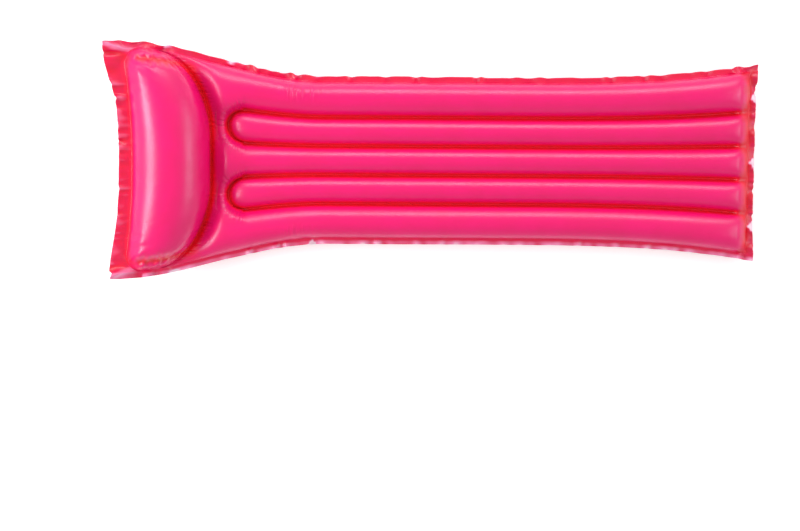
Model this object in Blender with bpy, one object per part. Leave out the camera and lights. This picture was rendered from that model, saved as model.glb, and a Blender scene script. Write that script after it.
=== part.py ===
"""Inflated pool air mattress: two films welded into a ribbed body and a pillow, with two valves.

The films are first laid out flat in plan, as rows that run from the head to the foot and
stations that cross them. The height of each chamber over its welds is that of a film under
pressure. The plan is then bent up at the weld between the pillow and the body.
+X runs to the foot end, +Z up. The origin is under the middle of the mattress, on the floor.
"""

import math

import bmesh
import bpy
import numpy as np
from mathutils import Matrix, Vector

# Film and its gaps
FILM = 0.0003
FILM_GAP = 0.0003
PIECE_GAP = 0.0003
WELD_WIDTH = 0.005

# Plan of the body, along X from the weld between pillow and body
BODY_LENGTH = 1.423
WAIST_HALF_WIDTH = 0.2045
FOOT_FLARE = 0.0365
FOOT_FLARE_LENGTH = 0.66
HEAD_FLARE = 0.0895
HEAD_FLARE_START = 0.306
FOOT_FLANGE = 0.022
SIDE_FLANGE = 0.019
FOOT_OPENING = 0.037

# The two U-shaped welds that make the five lengthwise channels, as shares of the half width
INNER_WELD = 0.187
OUTER_WELD = 0.560
U_BEND_SETBACK = 0.044

# Pillow
PILLOW_CHORD = 0.2086
PILLOW_HEAD_BOW = 0.022
PILLOW_CORNER = 0.050
PILLOW_TILT = math.radians(17.0)
PILLOW_END_DEPTH = 0.137
PILLOW_END_START = 0.25
MOST_LEAN = 4.0
HEAD_FLANGE = 0.035
SIDE_BEND = 0.12
SIDE_BEND_GROWTH = 1.6
SHARPEST_BEND = 1e-6

# Rest on the floor: how deep it is pressed flat, and where the foot end touches
REST_CUT = 0.0005
FOOT_REST_LENGTH = 0.020
FOOT_REST_SETBACK = 0.056
REST_HALF_ANGLE = 9.0

# Valves, in the valve's own frame: Z points out of the chamber, 0 is the film's outer face
VALVE_SEAT = 0.0195
BODY_VALVE_PLACE = 0.25
BODY_SEAT_RECESS = 0.0042
PILLOW_SEAT_RECESS = 0.0030
HALF_VALVE_CELL = 0.030
FILM_HOLE = 0.0102
FLANGE_BORE = 0.0096
FLANGE_RADIUS = 0.0180
FLANGE_THICK = 0.0012
STEM_BORE = 0.0046
STEM_RADIUS = 0.0062
STEM_RIM = 0.0074
STEM_RIM_THICK = 0.0010
STEM_PROUD = 0.0003
STEM_LENGTH = 0.0165
LUG_REACH = 0.0093
LUG_WIDTH = 0.0050
WEB_WALL = 0.0005
CAP_RADIUS = 0.0070
CAP_THICK = 0.0014
CAP_HINGE = 0.0095
HINGE_DROP = 0.0001
PLUG_TOP = 0.0042
PLUG_TIP = 0.0034
PLUG_LENGTH = 0.0056
STRAP_THICK = 0.0006
STRAP_WIDTH = 0.0042
TAB_REACH = 0.0115
TAB_WIDTH = 0.0060
TAB_THICK = 0.0010
FLAP_RADIUS = 0.0054
FLAP_THICK = 0.0004
FLAP_EAR_WIDTH = 0.0040
ROUND = 24
SHARP_EDGE = math.radians(35.0)

# Where the mesh lines run round a chamber's arch: for half a channel, in degrees from its middle,
# and for the pillow from the head side to the foot side, with two lines where it rests
CHANNEL_ARCH = (12.0, 50.0)
PILLOW_HEAD_ARCH = (-64.0, -40.0, -14.0)
PILLOW_FOOT_ARCH = (46.0, 66.0)
# Stations across the film between pillow weld and U-bend, as shares, and behind the bend's centre
CROSS_STATIONS = (0.35, 0.72)
DOME_STATIONS = (0.016, 0.060)
LONG_STATIONS = 3
# Differences under this count as none
TOUCH = 1e-9


def clear_scene():
    for obj in list(bpy.data.objects):
        bpy.data.objects.remove(obj)


def material(name, color, roughness, alpha=1.0):
    """A Principled material, with its colour in linear values."""
    made = bpy.data.materials.new(name)
    made.use_nodes = True
    shader = made.node_tree.nodes["Principled BSDF"]
    shader.inputs["Base Color"].default_value = (*color, 1.0)
    shader.inputs["Roughness"].default_value = roughness
    shader.inputs["Metallic"].default_value = 0.0
    shader.inputs["Alpha"].default_value = alpha
    made.diffuse_color = (*color, alpha)
    return made


def smoothstep(x):
    x = np.clip(x, 0.0, 1.0)
    return x * x * (3.0 - 2.0 * x)


def weld_half_width(s):
    """Half the width between the side welds, s metres towards the foot from the pillow weld."""
    head = smoothstep((HEAD_FLARE_START - s) / (HEAD_FLARE_START + PILLOW_CHORD + HEAD_FLANGE))
    foot = np.clip((s - BODY_LENGTH + FOOT_FLARE_LENGTH) / FOOT_FLARE_LENGTH, 0.0, None)
    return WAIST_HALF_WIDTH + HEAD_FLARE * head + FOOT_FLARE * foot**3


def pillow_weld(v):
    """Where the weld between pillow and body runs: straight, with rounded ends towards the head."""
    t = np.clip((np.abs(v) - PILLOW_END_START) / (1.0 - PILLOW_END_START), 0.0, 1.0)
    return -PILLOW_END_DEPTH * (1.0 - np.sqrt(1.0 - t * t))


def pillow_weld_lean(v):
    """How much longer a step along X is than the same step square to the pillow weld."""
    step = 1e-4
    run = pillow_weld(np.abs(v) - step) - pillow_weld(v)
    lean = np.hypot(1.0, run / (step * weld_half_width(pillow_weld(v))))
    return np.clip(lean, 1.0, MOST_LEAN)


def head_weld(v):
    """The pillow's weld at the head end, bowed in by the air, with rounded corners."""
    corner = PILLOW_CORNER / weld_half_width(-PILLOW_CHORD)
    t = np.clip((np.abs(v) - 1.0 + corner) / corner, 0.0, 1.0)
    rounding = PILLOW_CORNER * (1.0 - np.sqrt(1.0 - t * t))
    return -PILLOW_CHORD - PILLOW_HEAD_BOW * v * v + rounding


def mirrored(values):
    """The values with their negatives in front, both in rising order."""
    return np.array([-v for v in reversed(values)] + list(values))


def arch(low, high, sines):
    """Rows across a chamber between two welds, closer together at the welds."""
    middle, half = (low + high) / 2, (high - low) / 2
    return [middle + half * u for u in mirrored(sines)]


def plan_points(s, v):
    """Points in plan from s along X and v across, as a share of the half width to the side weld.

    Past the side weld, v counts the side flange's width: 2 is its edge.
    """
    half = weld_half_width(s)
    inside = np.clip(v, -1.0, 1.0) * half
    return np.stack([s, inside + (v - np.clip(v, -1.0, 1.0)) * SIDE_FLANGE], axis=-1)


def body_plan():
    """The body's stations by rows: plan points, and which of them are welded."""
    weld = WELD_WIDTH / 2 / WAIST_HALF_WIDTH
    inner = [INNER_WELD - weld, INNER_WELD + weld]
    outer = [OUTER_WELD - weld, OUTER_WELD + weld]
    sines = [math.sin(math.radians(angle)) for angle in CHANNEL_ARCH]
    half_rows = [inner[0] * u for u in sines] + inner
    half_rows += arch(inner[1], outer[0], sines) + outer
    half_rows += arch(outer[1], 1.0, sines) + [1.0, 2.0]
    rows = mirrored(half_rows)
    size = np.minimum(np.abs(rows), 1.0)

    # The head ends of the U-shaped welds are half circles
    middle = (inner[1] + outer[0]) / 2
    radius = (outer[0] - inner[1]) / 2
    u = np.clip((size - middle) / radius, -1.0, 1.0)
    bend_radius = radius * float(weld_half_width(U_BEND_SETBACK))
    bend_centre = U_BEND_SETBACK + bend_radius
    bend = bend_centre - bend_radius * np.sqrt(1.0 - u * u)
    lean = pillow_weld_lean(size)
    weld_edge = pillow_weld(size) + WELD_WIDTH / 2 * lean
    opening = BODY_LENGTH - FOOT_OPENING
    rest = opening - FOOT_REST_SETBACK
    valve_cell = [BODY_VALVE_PLACE - HALF_VALVE_CELL, BODY_VALVE_PLACE + HALF_VALVE_CELL]
    straight = [bend_centre + behind for behind in DOME_STATIONS] + valve_cell
    straight += list(np.linspace(valve_cell[1], rest - FOOT_REST_LENGTH, LONG_STATIONS + 2)[1:])
    straight += [rest, opening, BODY_LENGTH, BODY_LENGTH + FOOT_FLANGE]
    stations = [pillow_weld(size) + PIECE_GAP / 2 * lean, weld_edge]
    stations += [weld_edge + (bend - weld_edge) * share for share in CROSS_STATIONS]
    stations += [bend, np.minimum(bend, bend_centre) + WELD_WIDTH]
    stations += [np.full(len(rows), place) for place in straight]
    s = np.array(stations)
    v = np.broadcast_to(rows, s.shape)

    welded = np.zeros(s.shape, bool)
    welded[:2] = True
    welded[-2:] = True
    welded[:, np.abs(rows) > 1.0 - TOUCH] = True
    at_bend, at_opening = 2 + len(CROSS_STATIONS), len(stations) - 3
    for strip in (inner, outer):
        on_strip = np.isclose(np.abs(rows), strip[0]) | np.isclose(np.abs(rows), strip[1])
        welded[at_bend : at_opening + 1, on_strip] = True
    across_u = (size > inner[1] - TOUCH) & (size < outer[0] + TOUCH)
    welded[at_bend : at_bend + 2, across_u] = True
    return plan_points(s, v), welded, rows


def pillow_plan(body_rows):
    """The pillow's stations by rows: plan points, and which of them are welded.

    Its rows are the body's where their common weld is curved, so that both keep to one line.
    """
    cell = HALF_VALVE_CELL / float(weld_half_width(-PILLOW_CHORD / 2))
    rows = mirrored([cell] + [v for v in body_rows if v > PILLOW_END_START])
    size = np.minimum(np.abs(rows), 1.0)
    lean = pillow_weld_lean(size)
    head = head_weld(size)
    foot = pillow_weld(size) - WELD_WIDTH / 2 * lean
    middle, half = (head + foot) / 2, (foot - head) / 2
    stations = [-PILLOW_CHORD - HEAD_FLANGE - PILLOW_HEAD_BOW * size * size, head]
    tilt = math.degrees(PILLOW_TILT)
    angles = [*PILLOW_HEAD_ARCH, tilt - REST_HALF_ANGLE, tilt + REST_HALF_ANGLE, *PILLOW_FOOT_ARCH]
    stations += [middle + half * math.sin(math.radians(angle)) for angle in angles]
    stations += [foot, pillow_weld(size) - PIECE_GAP / 2 * lean]
    s = np.array(stations)
    v = np.broadcast_to(rows, s.shape)
    welded = np.zeros(s.shape, bool)
    welded[:2] = True
    welded[-2:] = True
    welded[:, np.abs(rows) > 1.0 - TOUCH] = True
    return plan_points(s, v), welded


def cells_of(shape):
    """The quads of a grid, as rows of four vertex numbers."""
    number = np.arange(shape[0] * shape[1]).reshape(shape)
    corners = (number[:-1, :-1], number[1:, :-1], number[1:, 1:], number[:-1, 1:])
    return np.stack([c.ravel() for c in corners], axis=1)


def inflated_height(plan, welded):
    """Half the chamber's thickness over each plan point, 0 on the welds.

    Its square g is the solution of Laplace(g) = -2 with g = 0 on the welds, found with
    linear triangles. Between two long parallel welds that gives a round tube.
    """
    points = plan.reshape(-1, 2)
    quads = cells_of(plan.shape[:2])
    triangles = np.concatenate([quads[:, [0, 1, 2]], quads[:, [0, 2, 3]]])
    a, b, c = (points[triangles[:, k]] for k in range(3))
    edges = np.stack([c - b, a - c, b - a], axis=1)
    area = np.abs((b - a)[:, 0] * (c - a)[:, 1] - (b - a)[:, 1] * (c - a)[:, 0]) / 2
    used = area > TOUCH**2
    triangles, edges, area = triangles[used], edges[used], area[used]
    count = len(points)
    stiffness = np.zeros((count, count))
    load = np.zeros(count)
    for i in range(3):
        np.add.at(load, triangles[:, i], 2.0 * area / 3.0)
        for j in range(3):
            dots = (edges[:, i] * edges[:, j]).sum(axis=1)
            np.add.at(stiffness, (triangles[:, i], triangles[:, j]), dots / (4.0 * area))
    free = ~welded.ravel()
    squared = np.zeros(count)
    squared[free] = np.linalg.solve(stiffness[np.ix_(free, free)], load[free])
    return np.sqrt(np.clip(squared, 0.0, None)).reshape(welded.shape)


class Bend:
    """Lays the flat plan into place: the body slopes to the floor, the pillow tilts up."""

    def __init__(self, hinge_height=0.0, body_slope=0.0, shift=0.0):
        self.hinge_height = hinge_height
        self.body_slope = body_slope
        self.shift = shift

    def place(self, s, y, z):
        """World points from s along the middle plane, y across and z square to the plane.

        The middle plane is straight in the body and in the pillow, with an arc between them
        that is sharp at the middle of the weld and SIDE_BEND long at the sides.
        """
        s, y, z = np.broadcast_arrays(np.asarray(s, float), y, z)
        past_middle = np.abs(y) / weld_half_width(s) - PILLOW_END_START
        share = smoothstep(past_middle * SIDE_BEND_GROWTH)
        length = np.maximum(SIDE_BEND * share, SHARPEST_BEND)
        curve = (PILLOW_TILT - self.body_slope) / length
        body = np.maximum(s, length / 2)
        angle = self.body_slope + curve * np.clip(length / 2 - s, 0.0, length)
        pillow = np.clip(-s - length / 2, 0.0, None)
        run, rise = math.cos(self.body_slope), math.sin(self.body_slope)
        x = body * run - (np.sin(angle) - rise) / curve - pillow * math.cos(PILLOW_TILT)
        up = (run - np.cos(angle)) / curve - body * rise + pillow * math.sin(PILLOW_TILT)
        x = x + self.shift + z * np.sin(angle)
        return np.stack([x, y, self.hinge_height + up + z * np.cos(angle)], axis=-1)


def settle(body, body_height, pillow, pillow_height):
    """The bend with the pillow and the body's foot end pressed into the floor by REST_CUT."""
    skin = FILM_GAP / 2 + FILM
    under = Bend().place(pillow[..., 0], pillow[..., 1], -pillow_height - skin)
    hinge_height = -float(under[..., 2].min()) - REST_CUT
    far = body[..., 0] > BODY_LENGTH / 2
    along, depth = body[far][:, 0], body_height[far] + skin
    reach = np.hypot(along, depth)
    slope = np.arcsin((hinge_height + REST_CUT) / reach) - np.arctan2(depth, along)
    bend = Bend(hinge_height, float(slope.min()))
    ends = [bend.place(plan[..., 0], plan[..., 1], 0.0)[..., 0] for plan in (body, pillow)]
    bend.shift = -(ends[0].max() + ends[1].min()) / 2
    return bend


def ring(centre, radius):
    """ROUND points on a circle in plan."""
    angle = np.arange(ROUND) * 2 * math.pi / ROUND
    return centre + radius * np.cos(angle), radius * np.sin(angle)


def stitch(outer, inner, points):
    """Triangles between two closed loops of vertex numbers that go round the same way."""
    faces = []
    i = j = 0
    while i < len(outer) or j < len(inner):
        a, b = outer[i % len(outer)], inner[j % len(inner)]
        next_a, next_b = outer[(i + 1) % len(outer)], inner[(j + 1) % len(inner)]
        along_outer = np.linalg.norm(points[next_a] - points[b])
        along_inner = np.linalg.norm(points[next_b] - points[a])
        if j == len(inner) or (i < len(outer) and along_outer < along_inner):
            faces.append((a, next_a, b))
            i += 1
        else:
            faces.append((a, next_b, b))
            j += 1
    return faces


def film(name, plan, height, side, bend, look, valve=None):
    """One film, top with side 1 or bottom with side -1, and a hole in it for its valve.

    valve is the place of its centre along the plan, the depth of its flat seat, and the
    first and last station and row of the cells that the seat takes.
    """
    lift = side * (FILM_GAP / 2 + height)
    points = bend.place(plan[..., 0], plan[..., 1], lift)
    number = np.arange(height.size).reshape(height.shape)
    quads = cells_of(height.shape)
    faces = [tuple(int(k) for k in quad) for quad in quads]
    points = points.reshape(-1, 3)
    if valve:
        centre, depth, (first, last), (low, high) = valve
        block = number[first : last + 1, low : high + 1]
        taken = set(block.ravel().tolist())
        faces = [f for f in faces if not taken.issuperset(f)]
        border = list(block[:-1, 0]) + list(block[-1, :-1])
        border += list(block[:0:-1, -1]) + list(block[0, :0:-1])
        flat = plan.reshape(-1, 2)
        loops = [[int(k) for k in border]]
        for radius in (VALVE_SEAT, FILM_HOLE):
            along, across = ring(centre, radius)
            start = len(points)
            loops.append(list(range(start, start + ROUND)))
            points = np.concatenate([points, bend.place(along, across, -depth)])
            flat = np.concatenate([flat, np.stack([along, across], axis=-1)])
        loops = [turned_to_start(loop, flat - (centre, 0.0)) for loop in loops]
        faces += stitch(loops[0], loops[1], points)
        faces += stitch(loops[1], loops[2], points)
    if side < 0:
        points[:, 2] = np.maximum(points[:, 2], FILM)
    used = sorted({k for face in faces for k in face})
    renumber = {k: n for n, k in enumerate(used)}
    faces = [tuple(renumber[k] for k in face) for face in faces]
    mesh = bpy.data.meshes.new(name)
    mesh.from_pydata(points[used].tolist(), [], [f[::side] for f in faces])
    mesh.shade_smooth()
    obj = bpy.data.objects.new(name, mesh)
    bpy.context.scene.collection.objects.link(obj)
    mesh.materials.append(look)
    wall = obj.modifiers.new("film", "SOLIDIFY")
    wall.thickness = FILM
    wall.offset = 1.0
    wall.use_even_offset = True
    if side < 0:
        press_flat(obj)
    return obj


def press_flat(obj):
    """Applies the film's thickness and presses what would reach below the floor flat on it."""
    bpy.context.view_layer.update()
    solid = bpy.data.meshes.new_from_object(obj.evaluated_get(bpy.context.evaluated_depsgraph_get()))
    obj.modifiers.clear()
    obj.data = solid
    for vertex in solid.vertices:
        vertex.co.z = max(vertex.co.z, 0.0)


def turned_to_start(loop, offsets):
    """The loop of vertex numbers turned to begin nearest to the direction of +X from the centre."""
    angles = [abs(math.atan2(offsets[k][1], offsets[k][0])) for k in loop]
    start = angles.index(min(angles))
    return loop[start:] + loop[:start]


def turned(name, profile, look, segments=ROUND):
    """A solid turned about Z from a closed outline of (radius, height), which may touch the axis."""
    made = bmesh.new()
    rings = []
    for radius, height in profile:
        if radius < TOUCH:
            rings.append([made.verts.new((0.0, 0.0, height))] * segments)
            continue
        angles = [2 * math.pi * k / segments for k in range(segments)]
        around = [(radius * math.cos(a), radius * math.sin(a), height) for a in angles]
        rings.append([made.verts.new(place) for place in around])
    for n, lower in enumerate(rings):
        upper = rings[(n + 1) % len(rings)]
        for k in range(segments):
            corners = [lower[k], lower[(k + 1) % segments], upper[(k + 1) % segments], upper[k]]
            corners = list(dict.fromkeys(corners))
            if len(corners) > 2:
                made.faces.new(corners)
    bmesh.ops.recalc_face_normals(made, faces=made.faces)
    return linked(name, made, look)


def block(name, low, high, look):
    """A box between two corners."""
    made = bmesh.new()
    size = Vector(high) - Vector(low)
    place = Matrix.Translation((Vector(low) + Vector(high)) / 2) @ Matrix.Diagonal((*size, 1.0))
    bmesh.ops.create_cube(made, size=1.0, matrix=place)
    return linked(name, made, look)


def linked(name, made, look):
    mesh = bpy.data.meshes.new(name)
    made.to_mesh(mesh)
    made.free()
    mesh.materials.append(look)
    mesh.shade_smooth()
    mesh.set_sharp_from_angle(angle=SHARP_EDGE)
    obj = bpy.data.objects.new(name, mesh)
    bpy.context.scene.collection.objects.link(obj)
    return obj


def join_on(obj, helper):
    """Adds a helper's solid to an object and leaves the helper out of the model."""
    helper.hide_render = True
    helper.display_type = "WIRE"
    union = obj.modifiers.new(helper.name, "BOOLEAN")
    union.operation = "UNION"
    union.solver = "EXACT"
    union.object = helper


def valve(prefix, seat, look):
    """A valve pushed into its seat: flange, rolling web, stem, cap and check flap.

    The cap turns about an axis beside its disc, and the flap about one beside the stem's
    inner end. Both axes run along Y.
    """
    flange_top = -FILM - PIECE_GAP
    flange_low = flange_top - FLANGE_THICK
    stem_low = STEM_PROUD - STEM_LENGTH
    cap_low = STEM_PROUD + PIECE_GAP
    web_top = flange_low - PIECE_GAP
    web_outer = FLANGE_BORE + 2 * WEB_WALL
    web_low = stem_low + 2 * WEB_WALL
    web_inner = STEM_RADIUS + PIECE_GAP
    flange = turned(
        prefix + "_valve_flange",
        [
            (FLANGE_BORE, flange_low),
            (FLANGE_RADIUS, flange_low),
            (FLANGE_RADIUS, flange_top),
            (FLANGE_BORE, flange_top),
        ],
        look,
    )
    web = turned(
        prefix + "_valve_web",
        [
            (web_outer, web_top),
            (web_outer, web_low + WEB_WALL),
            (web_outer - WEB_WALL, web_low),
            (web_inner, web_low),
            (web_inner, web_low + WEB_WALL),
            (web_outer - 2 * WEB_WALL, web_low + WEB_WALL),
            (web_outer - WEB_WALL, web_low + 2 * WEB_WALL),
            (web_outer - WEB_WALL, web_top),
        ],
        look,
    )
    rim_low = STEM_PROUD - STEM_RIM_THICK
    stem = turned(
        prefix + "_valve_stem",
        [
            (STEM_BORE, stem_low),
            (STEM_RADIUS, stem_low),
            (STEM_RADIUS, rim_low),
            (STEM_RIM, rim_low),
            (STEM_RIM, STEM_PROUD),
            (STEM_BORE, STEM_PROUD),
        ],
        look,
    )
    lug_from = (STEM_BORE + STEM_RIM) / 2
    lug = block(
        prefix + "_lug_solid",
        (lug_from, -LUG_WIDTH / 2, rim_low),
        (LUG_REACH, LUG_WIDTH / 2, STEM_PROUD),
        look,
    )
    join_on(stem, lug)
    hinge = Vector((CAP_HINGE, 0.0, cap_low - HINGE_DROP))
    cap = turned(
        prefix + "_valve_cap",
        [
            (0.0, cap_low - PLUG_LENGTH),
            (PLUG_TIP, cap_low - PLUG_LENGTH),
            (PLUG_TOP, cap_low),
            (CAP_RADIUS, cap_low),
            (CAP_RADIUS, cap_low + CAP_THICK),
            (0.0, cap_low + CAP_THICK),
        ],
        look,
    )
    inside_cap = CAP_RADIUS - CAP_THICK
    strap = block(
        prefix + "_strap_solid",
        (inside_cap, -STRAP_WIDTH / 2, cap_low),
        (CAP_HINGE, STRAP_WIDTH / 2, cap_low + STRAP_THICK),
        look,
    )
    tab = block(
        prefix + "_tab_solid",
        (-TAB_REACH, -TAB_WIDTH / 2, cap_low),
        (-inside_cap, TAB_WIDTH / 2, cap_low + TAB_THICK),
        look,
    )
    join_on(cap, strap)
    join_on(cap, tab)
    flap_top = stem_low - PIECE_GAP
    flap_low = flap_top - FLAP_THICK
    flap = turned(
        prefix + "_valve_flap",
        [(0.0, flap_low), (FLAP_RADIUS, flap_low), (FLAP_RADIUS, flap_top), (0.0, flap_top)],
        look,
    )
    ear = block(
        prefix + "_ear_solid",
        (-STEM_RADIUS, -FLAP_EAR_WIDTH / 2, flap_low),
        (-FLAP_RADIUS / 2, FLAP_EAR_WIDTH / 2, flap_top),
        look,
    )
    join_on(flap, ear)
    flap_hinge = Vector((-STEM_RADIUS, 0.0, flap_top))
    on_axis = Vector()
    seated = [(flange, on_axis), (web, on_axis), (stem, on_axis), (lug, on_axis)]
    seated += [(cap, hinge), (strap, hinge), (tab, hinge), (flap, flap_hinge), (ear, flap_hinge)]
    for piece, origin in seated:
        piece.data.transform(Matrix.Translation(-origin))
        piece.parent = seat
        piece.location = origin


def seat_at(name, bend, s, depth):
    """An empty on the film's outer face, with Z out of the chamber and X towards the head."""
    centre = bend.place(s, 0.0, -depth - FILM)
    angle = PILLOW_TILT if s < 0.0 else bend.body_slope
    towards_head = Vector((-math.cos(angle), 0.0, math.sin(angle)))
    outward = Vector((-math.sin(angle), 0.0, -math.cos(angle)))
    across = outward.cross(towards_head)
    turn = Matrix((towards_head, across, outward)).transposed()
    seat = bpy.data.objects.new(name, None)
    seat.matrix_world = Matrix.Translation(Vector(centre.tolist())) @ turn.to_4x4()
    bpy.context.scene.collection.objects.link(seat)
    return seat


def main():
    clear_scene()
    body_film = material("pink_vinyl_body", (0.84, 0.019, 0.159), 0.22)
    pillow_film = material("pink_vinyl_pillow", (0.85, 0.030, 0.180), 0.22)
    moulding = material("clear_soft_vinyl", (0.86, 0.80, 0.82), 0.30)

    body, body_welds, rows = body_plan()
    pillow, pillow_welds = pillow_plan(rows)
    body_height = inflated_height(body, body_welds)
    pillow_height = inflated_height(pillow, pillow_welds)
    bend = settle(body, body_height, pillow, pillow_height)

    row = body.shape[1] // 2
    station = int(np.abs(body[:, row, 0] - BODY_VALVE_PLACE + HALF_VALVE_CELL).argmin())
    body_depth = float(body_height[station, row]) - BODY_SEAT_RECESS
    body_cells = (BODY_VALVE_PLACE, body_depth, (station, station + 1), (row - 2, row + 1))
    row = pillow.shape[1] // 2
    station = 1 + len(PILLOW_HEAD_ARCH)
    pillow_depth = float(pillow_height[station, row]) - PILLOW_SEAT_RECESS
    pillow_place = float(pillow[station : station + 2, row, 0].mean())
    pillow_cells = (pillow_place, pillow_depth, (station, station + 1), (row - 1, row))

    film("mattress_top_sheet", body, body_height, 1, bend, body_film)
    film("mattress_bottom_sheet", body, body_height, -1, bend, body_film, body_cells)
    film("pillow_top_sheet", pillow, pillow_height, 1, bend, pillow_film)
    film("pillow_bottom_sheet", pillow, pillow_height, -1, bend, pillow_film, pillow_cells)
    valve("body", seat_at("body_valve_seat", bend, BODY_VALVE_PLACE, body_depth), moulding)
    valve("pillow", seat_at("pillow_valve_seat", bend, pillow_place, pillow_depth), moulding)
    return bend


main()
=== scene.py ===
"""Looks of the inflated pool air mattress, laid out as an add-on and run as a script.

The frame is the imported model. The film that shows is one skin over both films of the
mattress. It starts as the height of air pressure over the welds, and cloth simulation
then finds its creases. +X runs to the foot end, +Z up, all in metres.
"""

import math

import bpy
import numpy as np
from bpy.props import FloatProperty, FloatVectorProperty, IntProperty
from bpy.props import PointerProperty, StringProperty
from bpy.types import Operator, Panel, PropertyGroup
from mathutils import Matrix, Vector


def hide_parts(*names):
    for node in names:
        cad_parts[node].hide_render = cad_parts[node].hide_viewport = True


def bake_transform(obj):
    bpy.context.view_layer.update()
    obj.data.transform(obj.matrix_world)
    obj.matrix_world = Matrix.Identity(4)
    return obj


bl_info = {
    "name": "Pool air mattress",
    "version": (1, 0, 0),
    "blender": (4, 5, 0),
    "location": "View3D > Sidebar > Air mattress",
    "description": "Makes the film, valves and stage of an inflated pool air mattress",
    "category": "Object",
}

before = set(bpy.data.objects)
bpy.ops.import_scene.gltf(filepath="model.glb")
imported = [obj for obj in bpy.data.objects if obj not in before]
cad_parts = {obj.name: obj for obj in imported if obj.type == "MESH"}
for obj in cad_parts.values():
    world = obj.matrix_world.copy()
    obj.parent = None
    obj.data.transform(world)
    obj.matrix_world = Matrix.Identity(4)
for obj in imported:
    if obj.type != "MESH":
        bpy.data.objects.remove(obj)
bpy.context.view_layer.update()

# Plan of the welds, as in the CAD model. s runs along X from the weld between pillow and body,
# and v across it as a share of the half width to the side weld, with 2 at the flange's edge.
WELD_WIDTH = 0.005
BODY_LENGTH = 1.423
WAIST_HALF_WIDTH = 0.2045
FOOT_FLARE = 0.0365
FOOT_FLARE_LENGTH = 0.66
HEAD_FLARE = 0.0895
HEAD_FLARE_START = 0.306
FOOT_FLANGE = 0.022
SIDE_FLANGE = 0.019
HEAD_FLANGE = 0.035
FOOT_OPENING = 0.037
INNER_WELD = 0.187
OUTER_WELD = 0.560
U_BEND_SETBACK = 0.044
PILLOW_CHORD = 0.2086
PILLOW_HEAD_BOW = 0.022
PILLOW_CORNER = 0.050
PILLOW_END_DEPTH = 0.137
PILLOW_END_START = 0.25
MOST_LEAN = 4.0

# How the plan is bent up at the pillow weld and where it lies
PILLOW_TILT = math.radians(17.0)
SIDE_BEND = 0.12
SIDE_BEND_GROWTH = 1.6
HINGE = (-0.595017, 0.0, 0.067954)
BODY_SLOPE = 0.0165423

# Mesh of each film: cells round each chamber's arch and along it
CHANNEL_CELLS = 16
OUTER_CHANNEL_CELLS = 22
PILLOW_CELLS = 36
CROSS_CELLS = 14
DOME_CELLS = 9
MOUTH_CELLS = 8
ALONG_STEP = 0.0055
HEAD_FLANGE_CELLS = 7
FLANGE_CELLS = 4
# Share of a flange's width at which a line of the mesh keeps its edge sharp: beside the side and
# foot welds, and beside the head weld
WELD_EDGE = 0.05
HEAD_WELD_EDGE = 0.965
# Length and growth of the cells that dome up from the U-bends
DOME_LENGTH = 0.05
DOME_GROWTH = 1.25
# Half of what the two films and the gap between them measure at a weld, drawn a little thicker
# than the real 0.45 mm so that both skins stay apart in the flanges
HALF_WELD = 0.0006
# Share by which the pillow's film is cut to its plan's width and not to the arc over it, and the
# stations over which the cut passes to that and, past the domes, to the waist's width
PILLOW_CUT = 0.75
PILLOW_STATIONS = 6
WAIST_STATIONS = 12
# The simulation's random tremble of the free film, and the rounds that smooth the welds' drift
TREMBLE = 0.00015
DRIFT_ROUNDS = 120

# Valve seats in the world, from the CAD model: centre, way out of the chamber and place s. Then
# half the rows of the mesh that each takes, the radius of the film's flat seat, its least distance
# to the mesh round it, and its hole's radius, with the radius and depth of the room behind it
BODY_SEAT = ((-0.345586, 0.0, 0.031517), (-0.016542, 0.0, -0.999863), 0.25)
PILLOW_SEAT = ((-0.728785, 0.0, 0.009994), (-0.292372, 0.0, -0.956305), -0.1110)
SEATS = ((BODY_SEAT, 4), (PILLOW_SEAT, 3))
SEAT_RADIUS = 0.0195
SEAT_ROOM = 0.004
HOLE_RADIUS = 0.0102
ROOM_RADIUS = 0.0186
ROOM_DEPTH = 0.0300

# Darts in the free edges, across the foot edge and along each side, and their widths
FOOT_DARTS = (0.30, 0.171, 0.084, 0.0, -0.086, -0.169, -0.30)
FOOT_DART_WIDTH = 0.026
SIDE_DARTS = ((1.0, (-0.115, 0.058)), (-1.0, (-0.101, 0.268)))
SIDE_DART_WIDTH = 0.018
SIDE_DART_REACH = 0.03
SIDE_DART_HEIGHT = 2.4
# How far the corner tabs reach out: at the head on either side, and at the foot
HEAD_TABS = (0.018, 0.006)
FOOT_TAB = 0.004
# Most that a wave draws its edge in, how far the side edges' scallops do on each side, and the
# height of the wave that does so
MOST_DRAWN_IN = 0.006
SCALLOPS = (0.0055, 0.0022)
SCALLOP_WAVE = 0.0065
# The sides wave most about this place, over this length
WAVE_PLACE = 0.12
WAVE_REACH = 0.24
# Fans of folds round the corners of the chambers: place, folds in a radian, and first angle. Then
# their distance from the weld's corner, its middle, and how far they spread about it
CORNER_FANS = ((-PILLOW_CHORD - 0.004, 5.0, 0.3), (BODY_LENGTH - 0.012, 4.0, 0.9))
FAN_INSET = 0.012
FAN_RADIUS = 0.034
FAN_SPREAD = 0.024
# The roll at each head corner: from the flange's tip to the pillow's corner, its width, how it
# fades at both ends, and the place and width of the painted shadow beside it
ROLL_TIP = (-PILLOW_CHORD - PILLOW_HEAD_BOW - HEAD_FLANGE, 0.305)
ROLL_END = (-PILLOW_CHORD + 0.022, 0.276)
ROLL_LENGTH = 0.085
ROLL_WIDTH = 0.009
ROLL_FADE = 0.02
ROLL_SHADOW = (0.016, 0.008)
# The crease across each end of the pillow: distance from the side weld, width, where it starts
# and ends along s, and the height and length of its scallops
CREASE_PLACE = 0.028
CREASE_WIDTH = 0.008
CREASE_ENDS = (-0.065, -0.212)
CREASE_SCALLOP = (0.0025, 0.020)

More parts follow.
